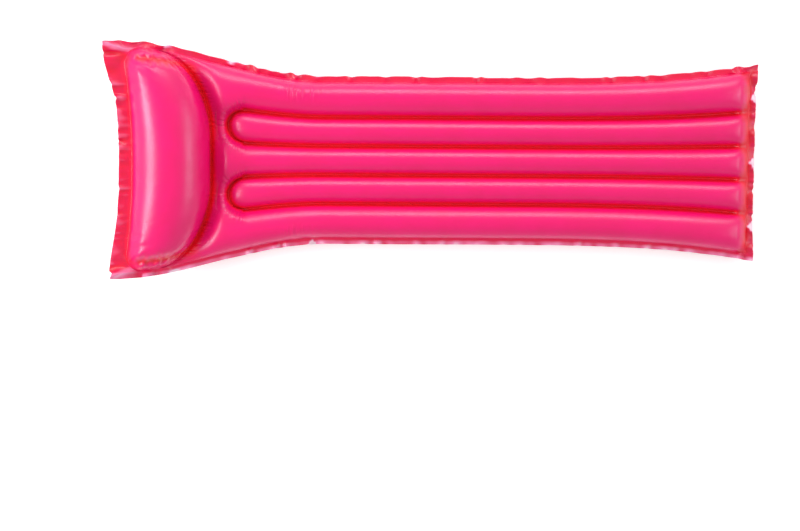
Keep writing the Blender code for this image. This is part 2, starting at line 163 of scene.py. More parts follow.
# Share of the air's height that the film keeps at a weld, and the distance from the weld at which
# it has all of it: behind the pillow on the body's and the pillow's side, at the head, at the
# foot and at the pillow's ends
BODY_SIDE = (0.60, 0.050)
PILLOW_SIDE = (0.64, 0.036)
HEAD_SIDE = (0.62, 0.028)
FOOT_SIDE = (0.50, 0.030)
PILLOW_ENDS = (0.60, 0.045)
# Share of the height that the end crease takes off and that the pinch past a lengthwise weld
# does, and the pinch's width
CREASE_DEPTH = 0.42
PINCH = 0.5
PINCH_WIDTH = 0.011
# Wrinkles run round a circle in each end of the pillow: its centre's s, its radius, and the height
# of film that they are highest at, with the spread about it
WRINKLE_PLACE = -0.12
WRINKLE_RADIUS = 0.085
WRINKLE_HEIGHT = 0.038
WRINKLE_SPREAD = 0.022

# Ticks beside welds: distance of the bell curve's top from the U-bends and from the pillow weld,
# and the place and spread on each outer channel, along s and along v
BEND_TICKS = (0.014, 0.011)
PILLOW_TICKS = (0.010, 0.010)
CHANNEL_TICKS = (0.235, 0.05, 0.86, 0.08)

# Painted light and shade of the folds. White painted glints where a dart shows its shiny side:
# half width at the cut edge and softness, at the sides and at the foot, and the width of the
# painted shade on the folds between those
SIDE_GLINT = (0.0125, 0.004)
FOOT_GLINT = (0.014, 0.005)
FOOT_SHADE = 0.012
# Height of film up to which painted shade darkens the film where it dives to a weld: at the head,
# at the foot, in the body
HEAD_DIVE_SHADE = 0.005
FOOT_DIVE_SHADE = 0.024
BODY_DIVE_SHADE = 0.0045
# How far from the pillow weld the head's own painted shade starts, and the red near its weld
# lessens
HEAD_TONES = 0.6 * PILLOW_CHORD
# Height of film up to which the doubled film's red and the painted red glow above it show and
# over which they fade, and the width of the painted red line in the pinched groove past each
# lengthwise weld
RED_HEIGHT = 0.010
RED_FADE = 0.013
RED_LINE = 0.007

FLOOR_REACH = 300.0

FILM_NODES = (
    "mattress_top_sheet", "mattress_bottom_sheet", "pillow_top_sheet", "pillow_bottom_sheet"
)


def smoothstep(x):
    """A smooth step from 0 to 1 as x goes from 0 to 1: 3x squared less 2x cubed."""
    x = np.clip(x, 0.0, 1.0)
    return x * x * (3.0 - 2.0 * x)


def bell(x, width):
    """A bell curve, e to the minus x squared over the width squared."""
    return np.exp(-((x / width) ** 2))


def risen(off, share_and_reach):
    """A share of 1 that rises from the given one at a weld to all of it at the given reach."""
    share, reach = share_and_reach
    return share + (1.0 - share) * smoothstep(off / reach)


def inner_share(v):
    """The share v without its sign, and no more than the side weld's 1."""
    return np.minimum(np.abs(v), 1.0)


def weld_half_width(s):
    """Half the width between the side welds: the waist's, plus a smooth step to the head and a
    cubic flare to the foot."""
    head = smoothstep((HEAD_FLARE_START - s) / (HEAD_FLARE_START + PILLOW_CHORD + HEAD_FLANGE))
    foot = np.clip((s - BODY_LENGTH + FOOT_FLARE_LENGTH) / FOOT_FLARE_LENGTH, 0.0, None)
    return WAIST_HALF_WIDTH + HEAD_FLARE * head + FOOT_FLARE * foot**3


def inner_y(s, v):
    """Place across of each point, or of the side weld beside it in the flange."""
    return np.clip(v, -1.0, 1.0) * weld_half_width(s)


def pillow_weld(v):
    """Place along s of the weld behind the pillow: straight, with quarter ellipses to the head."""
    t = np.clip((np.abs(v) - PILLOW_END_START) / (1.0 - PILLOW_END_START), 0.0, 1.0)
    return -PILLOW_END_DEPTH * (1.0 - np.sqrt(1.0 - t * t))


def pillow_weld_lean(v):
    """How much longer a step along X is than the same step square to the pillow weld."""
    step = 1e-4
    run = pillow_weld(np.abs(v) - step) - pillow_weld(v)
    lean = np.hypot(1.0, run / (step * weld_half_width(pillow_weld(v))))
    return np.clip(lean, 1.0, MOST_LEAN)


def head_weld(v):
    """Place along s of the head weld: a parabola across, with round corners."""
    corner = PILLOW_CORNER / weld_half_width(-PILLOW_CHORD)
    t = np.clip((np.abs(v) - 1.0 + corner) / corner, 0.0, 1.0)
    rounding = PILLOW_CORNER * (1.0 - np.sqrt(1.0 - t * t))
    return -PILLOW_CHORD - PILLOW_HEAD_BOW * v * v + rounding


def arch_places(low, high, cells):
    """Places across a chamber at even angles round its half circle, without its two welds."""
    angle = np.linspace(-math.pi / 2, math.pi / 2, cells + 1)[1:-1]
    return (low + high) / 2 + (high - low) / 2 * np.sin(angle)


def film_rows():
    """The rows across one film, as shares v, and which are on the lengthwise welds."""
    weld = WELD_WIDTH / 2 / WAIST_HALF_WIDTH
    inner = INNER_WELD + np.array([-weld, 0.0, weld])
    outer = OUTER_WELD + np.array([-weld, 0.0, weld])
    middle = arch_places(-inner[0], inner[0], CHANNEL_CELLS)[CHANNEL_CELLS // 2 :]
    half = [
        [0.0],
        middle,
        inner,
        arch_places(inner[2], outer[0], CHANNEL_CELLS),
        outer,
        arch_places(outer[2], 1.0, OUTER_CHANNEL_CELLS),
        [1.0, 1.0 + WELD_EDGE],
        1.0 + np.arange(1, FLANGE_CELLS + 1) / FLANGE_CELLS,
    ]
    half = np.concatenate(half)
    rows = np.concatenate([-half[:0:-1], half])
    on_weld = np.isin(np.abs(rows), np.concatenate([inner, outer]))
    return rows, on_weld, inner, outer


def film_grid():
    """Both films' common grid over the plan: s and v at each station and row, what is welded, and
    the number of stations up to the end of each group, by the group's name.

    Stations are lines across the film. Each follows the nearest weld: the bowed head weld, the
    D-shaped weld behind the pillow and the half circles of the two U-shaped welds.
    """
    rows, on_weld, inner, outer = film_rows()
    size = inner_share(rows)
    lean = pillow_weld_lean(size)
    behind = pillow_weld(size)
    before, after = behind - WELD_WIDTH / 2 * lean, behind + WELD_WIDTH / 2 * lean
    head = head_weld(size)
    edge = -PILLOW_CHORD - HEAD_FLANGE - PILLOW_HEAD_BOW * size * size
    flange = np.append(np.linspace(0.0, 1.0, HEAD_FLANGE_CELLS + 1), HEAD_WELD_EDGE)
    flange = np.sort(flange)[:, None]
    pillow = np.sin(np.linspace(-math.pi / 2, math.pi / 2, PILLOW_CELLS + 1)[1:-1, None])

    middle, radius = (inner[2] + outer[0]) / 2, (outer[0] - inner[2]) / 2
    u = np.clip((size - middle) / radius, -1.0, 1.0)
    bend_radius = radius * float(weld_half_width(U_BEND_SETBACK))
    bend_centre = U_BEND_SETBACK + bend_radius
    bend = bend_centre - bend_radius * np.sqrt(1.0 - u * u)
    inside = np.minimum(bend, bend_centre) + WELD_WIDTH
    # The cross channel's stations lie closer together at its two welds
    even = np.linspace(0.0, 1.0, CROSS_CELLS + 1)[1:-1, None]
    cross = 0.4 * even + 0.3 * (1.0 - np.cos(math.pi * even))
    first = bend_centre + DOME_LENGTH
    dome = (np.arange(1, DOME_CELLS + 1)[:, None] / DOME_CELLS) ** DOME_GROWTH
    opening = BODY_LENGTH - FOOT_OPENING
    along = np.linspace(first, opening, int(round((opening - first) / ALONG_STEP)) + 1)[1:]
    mouth = opening + FOOT_OPENING * np.sin(np.linspace(0.0, math.pi / 2, MOUTH_CELLS + 1)[1:])
    foot = np.append(WELD_EDGE, np.arange(1, FLANGE_CELLS + 1) / FLANGE_CELLS)
    foot = BODY_LENGTH + FOOT_FLANGE * foot
    one = np.ones((1, len(rows)))
    groups = {
        "head edge": (edge + (head - edge) * flange, True),
        "pillow": ((head + before) / 2 + (before - head) / 2 * pillow, False),
        "pillow weld": (np.stack([before, behind, after]), True),
        "cross channel": (after + (bend - after) * cross, False),
        "U-bends": (np.stack([bend, (bend + inside) / 2, inside]), False),
        "domes": (inside + (first - inside) * dome, False),
        "channels": (along[:, None] * one, False),
        "foot opening": (mouth[:-1, None] * one, False),
        "foot weld": (mouth[-1:, None] * one, True),
        "foot edge": (foot[:, None] * one, True),
    }
    s = np.concatenate([lines for lines, _ in groups.values()])
    ends = dict(zip(groups, np.cumsum([len(lines) for lines, _ in groups.values()])))
    welded = np.concatenate([np.full(lines.shape, weld) for lines, weld in groups.values()])
    welded[:, np.abs(rows) >= 1.0 - 1e-9] = True
    welded[ends["cross channel"] : ends["channels"], on_weld] = True
    across_u = (size > inner[2] - 1e-9) & (size < outer[0] + 1e-9)
    welded[ends["cross channel"] : ends["U-bends"], across_u] = True
    return s, np.broadcast_to(rows, s.shape), welded, ends


def plan_points(s, v):
    """Plan points: v times the half width up to the side weld, then the flange's own width."""
    flange = v - np.clip(v, -1.0, 1.0)
    return np.stack([s, inner_y(s, v) + flange * SIDE_FLANGE], axis=-1)


def grid_cells(shape):
    """The cells of a grid, as rows of four point numbers."""
    number = np.arange(shape[0] * shape[1]).reshape(shape)
    corners = (number[:-1, :-1], number[1:, :-1], number[1:, 1:], number[:-1, 1:])
    return np.stack([corner.ravel() for corner in corners], axis=1)


def ring_round(block):
    """The numbers round the edge of a block of the grid, in order."""
    return np.concatenate([block[:-1, 0], block[-1, :-1], block[:0:-1, -1], block[0, :0:-1]])


def air_height(plan, welded):
    """Half a chamber's thickness, the square root of g, where Laplace(g) = -2 and g = 0 on welds.

    Between two long welds that is a half circle. Solved on linear triangles by conjugate
    gradients, in which each step moves along the steepest way left.
    """
    points = plan.reshape(-1, 2)
    cells = grid_cells(plan.shape[:2])
    triangles = np.concatenate([cells[:, [0, 1, 2]], cells[:, [0, 2, 3]]])
    a, b, c = (points[triangles[:, k]] for k in range(3))
    edges = np.stack([c - b, a - c, b - a], axis=1)
    across, on = b - a, c - a
    area = np.abs(across[:, 0] * on[:, 1] - across[:, 1] * on[:, 0]) / 2
    used = area > 1e-12
    triangles, edges, area = triangles[used], edges[used], area[used]
    count = len(points)
    load = sum(np.bincount(triangles[:, i], 2.0 * area / 3.0, count) for i in range(3))
    pairs = [(i, j) for i in range(3) for j in range(3)]
    row = np.concatenate([triangles[:, i] for i, _ in pairs])
    column = np.concatenate([triangles[:, j] for _, j in pairs])
    value = [(edges[:, i] * edges[:, j]).sum(axis=1) / (4.0 * area) for i, j in pairs]
    value = np.concatenate(value)
    free = (~welded.ravel()).astype(float)
    diagonal = np.maximum(np.bincount(row, np.where(row == column, value, 0.0), count), 1e-12)
    squared = np.zeros(count)
    left = load * free
    scaled = left / diagonal
    way = scaled.copy()
    size = first = left @ scaled
    while size > 1e-13 * first:
        change = np.bincount(row, value * way[column], count) * free
        step = size / (way @ change)
        squared += step * way
        left -= step * change
        scaled = left / diagonal
        size, last = left @ scaled, size
        way = scaled + size / last * way
    return np.sqrt(np.clip(squared, 0.0, None)).reshape(welded.shape)


def soft_noise(x, seed):
    """Smooth noise from -1 to 1 along x, with about one swing per unit: six sines with seeded
    rates and phases."""
    chance = np.random.default_rng(seed)
    waves = [(chance.uniform(0.4, 1.7), chance.uniform(0, 2 * math.pi)) for _ in range(6)]
    total = sum(np.sin(2 * math.pi * rate * x + phase) for rate, phase in waves)
    return np.clip(total / 2.6, -1.0, 1.0)


def folds_2d(x, y, length, seed):
    """Crossing waves of about one length in metres, from -1 to 1: twelve sines along seeded
    directions."""
    chance = np.random.default_rng(seed)
    total = np.zeros(np.shape(x))
    for _ in range(12):
        turn, phase = chance.uniform(0, math.pi), chance.uniform(0, 2 * math.pi)
        rate = 2 * math.pi / (length * chance.uniform(0.7, 1.8))
        total += np.sin(rate * (x * math.cos(turn) + y * math.sin(turn)) + phase)
    return np.clip(total / 5.0, -1.0, 1.0)


def darts(along, share, places, width):
    """Sharp pleats that open from the weld to the cut edge, from -0.5 to 0.5.

    Each rises by 1 over its width, which grows with share, and the film between two of them
    falls by as much, so their sum stays level.
    """
    width = np.maximum(width * share, 1e-4)
    steps = sum(np.clip((place - along) / width + 0.5, 0.0, 1.0) for place in places)
    places = np.sort(places)[::-1]
    return steps - np.interp(-along, -places, np.arange(len(places)) + 0.5)


def creased(x):
    """A wave of length 1 from -1 to 1, a cosine whose ridges are drawn a little to creases."""
    ridge = (1.0 - np.abs(np.sin(math.pi * x))) ** 1.3
    return 0.85 * np.cos(2 * math.pi * x) + 0.3 * ridge - 0.15


def fine_creases(x):
    """The shorter waves between a long wave's creases: the same form at 2.2 times its rate."""
    return creased(2.2 * x + 0.3)


def free_shares(s, v):
    """How far each point lies out into the side, head and foot edges, from 0 at the weld to 1."""
    side = np.clip(np.abs(v) - 1.0, 0.0, 1.0)
    head = np.clip((head_weld(inner_share(v)) - s) / HEAD_FLANGE, 0.0, 1.0)
    return side, head, np.clip((s - BODY_LENGTH) / FOOT_FLANGE, 0.0, 1.0)


def fold_places(s, v, sizes):
    """Where each point of the side and head edges lies among that edge's folds, whose creases are
    at whole numbers. Smooth noise makes the length from crease to crease wander."""
    side = s / sizes.side_wave_length
    wander = np.where(v > 0, soft_noise(side * 0.55, 11), soft_noise(side * 0.55, 12))
    head = inner_y(s, v) / sizes.head_wave_length
    return side + 0.45 * wander, head + 0.4 * soft_noise(head * 0.6, 21)


def corner_rolls(s, y):
    """The roll that the film makes from each head corner to the pillow's corner: its height, a
    bell curve over the distance from that line, and its painted light: a painted highlight on it
    and a painted shadow beside it."""
    tip, end = np.array(ROLL_TIP), np.array(ROLL_END)
    way = (end - tip) / np.linalg.norm(end - tip)
    along = (s - tip[0]) * way[0] + (np.abs(y) - tip[1]) * way[1]
    off = (s - tip[0]) * way[1] - (np.abs(y) - tip[1]) * way[0]
    share = smoothstep((along + ROLL_FADE / 2) / ROLL_FADE)
    share = share * smoothstep((ROLL_LENGTH - along) / ROLL_FADE)
    roll = share * bell(off, ROLL_WIDTH)
    place, width = ROLL_SHADOW
    # The second value is painted light: a painted highlight on the roll and a painted shadow
    # beside it
    return roll, roll - 0.9 * share * bell(off - place, width)


def flange_waves(s, v, sizes):
    """Height of the waves in the free edges: creased waves that grow from the weld outwards.

    The sides wave most where the body narrows, and have a few darts. At the foot the round
    channels gather the flat edge into darts. Round the four corners of the chambers folds fan
    out, as sines of the angle.
    """
    side, head, foot = free_shares(s, v)
    side_fold, head_fold = fold_places(s, v, sizes)
    swell = np.where(v > 0, soft_noise(side_fold * 0.3, 13), soft_noise(side_fold * 0.3, 14))
    swell = (0.75 + 0.25 * swell) * (0.5 + 0.5 * bell(s - WAVE_PLACE, WAVE_REACH))
    height = sizes.side_wave * side**0.8 * swell * creased(side_fold)
    for sign, places in SIDE_DARTS:
        near = sum(bell(s - place, SIDE_DART_REACH) for place in places)
        fold = darts(s, side, np.array(places), SIDE_DART_WIDTH)
        added = height + SIDE_DART_HEIGHT * sizes.side_wave * side * near * fold
        height = np.where(v * sign > 1.0, added, height)

    ridge = 0.68 * creased(head_fold) * (0.7 + 0.3 * soft_noise(head_fold * 0.4, 22))
    ridge = ridge + 0.32 * fine_creases(head_fold)
    height = height + sizes.head_wave * head**0.8 * ridge * (1.0 - side)

    fold = darts(inner_y(s, v), foot, np.array(FOOT_DARTS), FOOT_DART_WIDTH)
    fold = fold + 0.25 * soft_noise(v * 9.0, 31)
    fade = 1.0 - smoothstep((np.abs(v) - 0.85) / 0.4)
    height = height + sizes.foot_wave * foot * fold * fade

    out = np.maximum(np.maximum(side, head), foot)
    y = plan_points(s, v)[..., 1]
    height = height + sizes.corner_roll * corner_rolls(s, y)[0] * out**0.5
    for place, turns, phase in CORNER_FANS:
        edge = weld_half_width(place) - FAN_INSET
        far, angle = np.hypot(s - place, np.abs(y) - edge), np.arctan2(np.abs(y) - edge, s - place)
        fan = np.sin(turns * angle + phase + 0.8 * np.sign(v) + 18.0 * far)
        height = height + sizes.corner_fold * bell(far - FAN_RADIUS, FAN_SPREAD) * fan * out**0.6
    return height


def drawn_in(s, v, plan, waves):
    """The plan with the free edges drawn in by their waves: a head or foot edge of width w that
    climbs by h reaches about h squared over w less far, and a side edge is scalloped, drawn in
    most at its ridges. The corner tabs stay out."""
    side, head, foot = free_shares(s, v)
    less = np.minimum(waves**2 / SIDE_FLANGE, MOST_DRAWN_IN)
    x = plan[..., 0] + less * (head - foot) * (1.0 - side)
    tab = np.where(v > 0, HEAD_TABS[0], HEAD_TABS[1]) * smoothstep((np.abs(v) - 0.45) / 0.45)
    x = x - tab * head - FOOT_TAB * foot * smoothstep((0.9 - np.abs(v)) / 0.2)
    scallop = np.where(v < 0, SCALLOPS[1], SCALLOPS[0])
    scallop = scallop * np.clip(0.5 + 0.5 * waves / SCALLOP_WAVE, 0.0, 1.0)
    y = plan[..., 1] - np.sign(v) * scallop * side
    return np.stack([x, y], axis=-1)


def end_crease(s, v):
    """The crease that gathers each end of the pillow: a scalloped bell curve over the distance
    from its line beside the side weld, from 0 to 1."""
    size = inner_share(v)
    high, length = CREASE_SCALLOP
    end = (1.0 - size) * weld_half_width(s) + high * np.sin(2 * math.pi * s / length)
    share = smoothstep((CREASE_ENDS[0] - s) / 0.03) * smoothstep((s - CREASE_ENDS[1]) / 0.02)
    return share * bell(end - CREASE_PLACE, CREASE_WIDTH) * (s < pillow_weld(size))


def drawn_film(s, v, plan, height, sizes):
    """The height, less what the film's own stiffness and spare width take off it.

    Round the pillow and at the foot the film meets the weld at less than a right angle. Past
    the ends of the lengthwise welds it stays pinched between the channels. Round the pillow's
    two ends the curved weld gathers it into wrinkles, as a sine of the angle round the end.
    """
    y = np.abs(plan[..., 1])
    size = inner_share(v)
    off = (s - pillow_weld(size)) / pillow_weld_lean(size)
    in_pillow = off < 0.0
    height = height * np.where(in_pillow, risen(-off, PILLOW_SIDE), risen(off, BODY_SIDE))
    height = height * risen(s - head_weld(size), HEAD_SIDE)
    height = height * risen(BODY_LENGTH - s, FOOT_SIDE)
    end = (1.0 - size) * weld_half_width(s)
    height = np.where(in_pillow, height * risen(end, PILLOW_ENDS), height)
    height = height * (1.0 - CREASE_DEPTH * end_crease(s, v))
    past = smoothstep((s - BODY_LENGTH + FOOT_OPENING + 0.003) / 0.006)
    for weld in (INNER_WELD, OUTER_WELD):
        height = height * (1.0 - PINCH * past * bell(y - weld * weld_half_width(s), PINCH_WIDTH))
    centre = weld_half_width(WRINKLE_PLACE) - WRINKLE_RADIUS
    angle = np.arctan2(y - centre, WRINKLE_PLACE - s)
    ends = smoothstep((np.abs(v) - 0.55) / 0.2) * in_pillow
    count = angle * WRINKLE_RADIUS / sizes.pillow_wrinkle_length
    wave = np.sin(count * 2 * math.pi + 1.4 * np.sign(v))
    wave = wave * (0.6 + 0.4 * folds_2d(s, plan[..., 1], 0.05, 61))
    wave = wave * bell(height - WRINKLE_HEIGHT, WRINKLE_SPREAD)
    return height + sizes.pillow_wrinkle * wave * ends


def painted_edge_light_and_shade(s, v, sizes):
    """Painted light and shade on the folds of the side, head and foot edges.

    A ridge gets a painted highlight, and a valley painted shade where the film also doubles. On
    the side away from the lamp the cut edge is painted pale all along as a highlight, and on the
    lamp's
    side painted deeper. Some darts turn their shiny side up, painted as a white glint triangle:
    every second one at the foot, and those of the sides. The foot's other darts and a band beside
    its weld get painted shade.
    """
    side, head, foot = free_shares(s, v)
    side_fold, head_fold = fold_places(s, v, sizes)
    y = inner_y(s, v)
    patchy = folds_2d(s, y + v * 0.02, 0.03, 51)
    # Painted highlight on the side edges' ridges and painted shade in their valleys, with random
    # patches
    calm = np.where(v < 0, 0.9, 0.35 + 0.65 * bell(s - 0.10, 0.25))
    tone = side * calm * (0.62 * creased(side_fold) + 0.45 * patchy)
    # The cut edge away from the lamp is painted pale as a highlight, and the lamp's side painted
    # deeper
    pale = 1.25 * smoothstep((side - 0.25) / 0.4) - 0.35
    tone = tone + np.where(v < 0, pale, -0.30) * (side > 0)
    # Painted highlight on the head edge's ridges and painted shade in its valleys
    ridge = 0.55 * creased(head_fold) + 0.5 * fine_creases(head_fold)
    tone = np.where(head > 0, (0.35 + 0.65 * head) * (0.75 * ridge + 0.3 * patchy), tone)
    # Painted highlight on the corner roll and painted shadow beside it
    roll, roll_painted_light = corner_rolls(s, plan_points(s, v)[..., 1])
    tone = tone * (1.0 - 0.6 * roll) + roll_painted_light * (np.maximum(side, head) > 0)
    # White painted glints on the side darts
    wide, soft = SIDE_GLINT
    for sign, places in SIDE_DARTS:
        white = sum(smoothstep((wide * side - np.abs(s - place)) / soft) for place in places)
        tone = np.where(v * sign > 1.0, tone + 2.2 * white, tone)
    # At the foot: white painted glints on every second dart, and painted shade on the others and
    # in a band beside the weld
    wide, soft = FOOT_GLINT
    turned, doubled = FOOT_DARTS[1:-1:2], FOOT_DARTS[2:-1:2]
    white = sum(smoothstep((0.002 + wide * foot - np.abs(y - at)) / soft) for at in turned)
    deep = sum(bell(y - at, FOOT_SHADE) for at in doubled)
    foot_painted_light = 3.2 * white - 0.9 * deep - 0.2 + 0.5 * soft_noise(y / 0.022, 52)
    band = bell(foot, 0.4) * (1.0 + 0.5 * patchy)
    return np.where((foot > 0) & (side < 0.5), foot_painted_light - band, tone)


def painted_fold_light_and_shade(s, v, height, sizes):
    """Painted light and shade at each point: -1 painted shade, 1 painted highlight, 2 white
    painted glint.

    The free edges have their own painted light and shade. Inside them painted shade darkens the
    film where it dives to a weld, most of all at the head and foot, and in the crease across each
    end of the pillow.
    """
    side, head, foot = free_shares(s, v)
    y = inner_y(s, v)
    # Painted shade where the film dives to the head and foot welds, in the pillow's end creases
    # and beside the body's welds
    dive_shade = 0.6 * bell(height, HEAD_DIVE_SHADE) * smoothstep((-s - HEAD_TONES) / 0.05)
    depth = FOOT_DIVE_SHADE * (1.0 + 0.35 * soft_noise(y / 0.03, 53))
    dive_shade = dive_shade + bell(height, depth) * smoothstep((s - BODY_LENGTH + 0.03) / 0.008)
    dive_shade = dive_shade + end_crease(s, v) ** 2 * (1.0 + 0.6 * soft_noise(s / 0.012, 54))
    body = smoothstep((s - 0.02) / 0.03) * (np.abs(v) < 0.9)
    dive_shade = dive_shade + 0.35 * bell(height, BODY_DIVE_SHADE) * body
    inside = (head <= 0) & (foot <= 0) & (side <= 0)
    return np.where(inside, -dive_shade, painted_edge_light_and_shade(s, v, sizes))


def gathers(s, v, plan):
    """Where air gathers the film into fine ticks beside a weld: the place along that weld in
    metres, and a share from 0 to 1.

    The share is a bell curve over the distance from the U-bends, from the pillow weld, and from
    a place on each outer channel.
    """
    y = np.abs(plan[..., 1])
    half = weld_half_width(U_BEND_SETBACK)
    radius, middle = (OUTER_WELD - INNER_WELD) / 2 * half, (OUTER_WELD + INNER_WELD) / 2 * half
    along, across = s - U_BEND_SETBACK - radius, y - middle
    off = np.hypot(along, across) - radius
    top, spread = BEND_TICKS
    bend = bell(off - top, spread) * smoothstep((0.012 - along) / 0.02)
    off = s - pillow_weld(inner_share(v))
    top, spread = PILLOW_TICKS
    divider = bell(np.abs(off) - top, spread) * (0.35 + 0.65 * smoothstep(np.abs(v) * 2 - 0.5))
    at, spread, at_v, spread_v = CHANNEL_TICKS
    channel = bell(s - at, spread) * bell(np.abs(v) - at_v, spread_v) * np.where(v > 0, 1.0, 0.5)
    shares = np.stack([bend, divider, channel])
    places = np.stack([np.arctan2(across, -along) * radius, y * 1.2, s])
    best = shares.argmax(axis=0)[None]
    return np.take_along_axis(places, best, 0)[0], np.take_along_axis(shares, best, 0)[0]


def weld_red_and_glow_share(s, v, plan, height):
    """How much red is painted near each weld, from 0 to 1: the doubled film's own red at the weld,
    and up the grooves' walls a painted red glow that stands in for light passed through the film;
    most where the chamber is thin, less at the side and head welds, and in a line past each
    lengthwise weld's end."""
    near = 1.0 - smoothstep((height - RED_HEIGHT) / RED_FADE)
    near = near * (1.0 - 0.7 * smoothstep((np.abs(v) - 0.90) / 0.06))
    near = near * (1.0 - 0.25 * smoothstep((-s - HEAD_TONES) / 0.03))
    near = np.maximum(near, 0.9 * end_crease(s, v) ** 2)
    for weld in (INNER_WELD, OUTER_WELD):
        line = bell(np.abs(plan[..., 1]) - weld * weld_half_width(s), RED_LINE)
        near = np.maximum(near, line * (s > BODY_LENGTH - FOOT_OPENING))
    return near


def film_looks(s, v, plan, height, sizes):
    """The film's attributes for its material, by name, at each point of its grid."""
    side, head, foot = free_shares(s, v)
    edge = np.maximum(np.maximum(side * SIDE_FLANGE, head * HEAD_FLANGE), foot * FOOT_FLANGE)
    place, gather = gathers(s, v, plan)
    return {
        "painted_light_and_shade": painted_fold_light_and_shade(s, v, height, sizes),
        "weld_red_and_painted_glow": weld_red_and_glow_share(s, v, plan, height),
        "free_edge": smoothstep(edge / 0.010),
        "weld_place": place,
        "gather": gather,
    }


def cut_shape(s, plan, height, waves, ends, sizes):
    """The film as it was cut, on which the cloth's own lengths are measured.

    Across the body each row lies at the arc length round the inflated channels at the waist,
    and along it each station at the longest arc of all rows, so the film has spare length
    where a chamber ends. In the pillow part both are the arc lengths over the film itself.
    The free edges and the film beside welds get waves, which stand for more spare length.
    """
    shape = np.concatenate([plan, height[..., None]], axis=-1)
    along = np.linalg.norm(np.diff(shape, axis=0), axis=-1)
    across = np.cumsum(np.linalg.norm(np.diff(shape, axis=1), axis=-1), axis=1)
    across = np.concatenate([np.zeros((len(across), 1)), across], axis=1)
    across -= across[:, [across.shape[1] // 2]]
    station = np.arange(len(s))[:, None]
    straight, bends = ends["domes"], ends["cross channel"]
    waist = across[(straight + ends["channels"]) // 2]
    past = smoothstep((station - bends) / (straight + WAIST_STATIONS - bends))
    pillow = PILLOW_CUT * smoothstep((ends["pillow weld"] - station) / PILLOW_STATIONS)
    across = across * (1.0 - pillow) + plan[..., 1] * pillow
    across = across * (1.0 - past) + waist * past
    along[straight:] = along[straight:].max(axis=1, keepdims=True)
    towards_foot = np.cumsum(along[straight:], axis=0)
    towards_head = -np.cumsum(along[:straight][::-1], axis=0)[::-1]
    x = np.concatenate([towards_head, np.zeros((1, s.shape[1])), towards_foot])
    spare = sizes.spare_film * folds_2d(x, across, 0.018, 41) * np.exp(-height / 0.012)
    z = 1.25 * waves + np.where(height > 0.0, spare, 0.0)
    grow = 1.0 + sizes.slack
    return np.stack([x * grow, across * grow, z], axis=-1)


def evened(values, edges, count, rounds):
    """Values smoothed over a mesh: each becomes the mean of itself and of its neighbours' mean."""
    links = np.bincount(edges.ravel(), minlength=count)
    for _ in range(rounds):
        near = np.bincount(edges[:, 0], values[edges[:, 1]], count)
        near += np.bincount(edges[:, 1], values[edges[:, 0]], count)
        values = (values + near / links) / 2
    return values


def cloth_spell(points, cut, faces, free, sizes):
    """Where one spell of cloth simulation with air pressure and no gravity takes the points."""
    scene = bpy.context.scene
    mesh = bpy.data.meshes.new("film_cloth")
    mesh.from_pydata(points.tolist(), [], faces.tolist())
    obj = bpy.data.objects.new("film_cloth", mesh)
    scene.collection.objects.link(obj)
    obj.shape_key_add(name="Basis")
    obj.shape_key_add(name="cut").data.foreach_set("co", cut.ravel())
    obj.vertex_groups.new(name="air").add(free, 1.0, "REPLACE")
    cloth = obj.modifiers.new("air", "CLOTH")
    settings = {
        "rest_shape_key": mesh.shape_keys.key_blocks["cut"],
        "quality": 6,
        "mass": 0.1,
        "air_damping": 1.0,
        "tension_stiffness": 40.0,
        "compression_stiffness": 40.0,
        "shear_stiffness": 20.0,
        "bending_stiffness": 0.1,
        "use_pressure": True,
        "uniform_pressure_force": sizes.air_pressure,
        "vertex_group_pressure": "air",
    }
    for name, value in settings.items():
        setattr(cloth.settings, name, value)
    cloth.settings.effector_weights.gravity = 0.0
    cloth.collision_settings.use_collision = False
    cloth.point_cache.frame_start = scene.frame_start = 1
    cloth.point_cache.frame_end = scene.frame_end = sizes.cloth_frames + 1
    for number in range(1, sizes.cloth_frames + 1):
        scene.frame_set(number)
    moved = np.empty(len(points) * 3, np.float32)
    done = obj.evaluated_get(bpy.context.evaluated_depsgraph_get()).data
    done.vertices.foreach_get("co", moved)
    bpy.data.objects.remove(obj)
    bpy.data.meshes.remove(mesh)
    return moved.reshape(-1, 3).astype(float)


def inflated(start, cut, faces, welded, sizes):
    """Both films after the cloth simulation that begins at the start shape.

    It runs in short spells. After each, the slow drift of the welds is taken off, so that they
    keep their plan and lie level. The free edges have no air on them.
    """
    count = len(start)
    sides = [faces[:, [k, (k + 1) % 4]] for k in range(4)]
    edges = np.unique(np.sort(np.concatenate(sides), axis=1), axis=0)
    weight = evened(welded.astype(float), edges, count, DRIFT_ROUNDS)
    free = np.flatnonzero(~welded).tolist()
    points = start.copy()
    for _ in range(sizes.cloth_spells):
        points = cloth_spell(points, cut, faces, free, sizes)
        for axis in range(3):
            drift = np.where(welded, points[:, axis] - start[:, axis], 0.0)
            drift = evened(drift, edges, count, DRIFT_ROUNDS)
            points[:, axis] -= drift / np.maximum(weight, 1e-9)
    bpy.context.scene.frame_set(1)
    if not np.isfinite(points).all():
        raise RuntimeError("the cloth simulation of the film did not settle")
    step = points - start
    length = np.linalg.norm(step, axis=1, keepdims=True)
    return start + step * np.minimum(1.0, sizes.most_move / np.maximum(length, 1e-9))


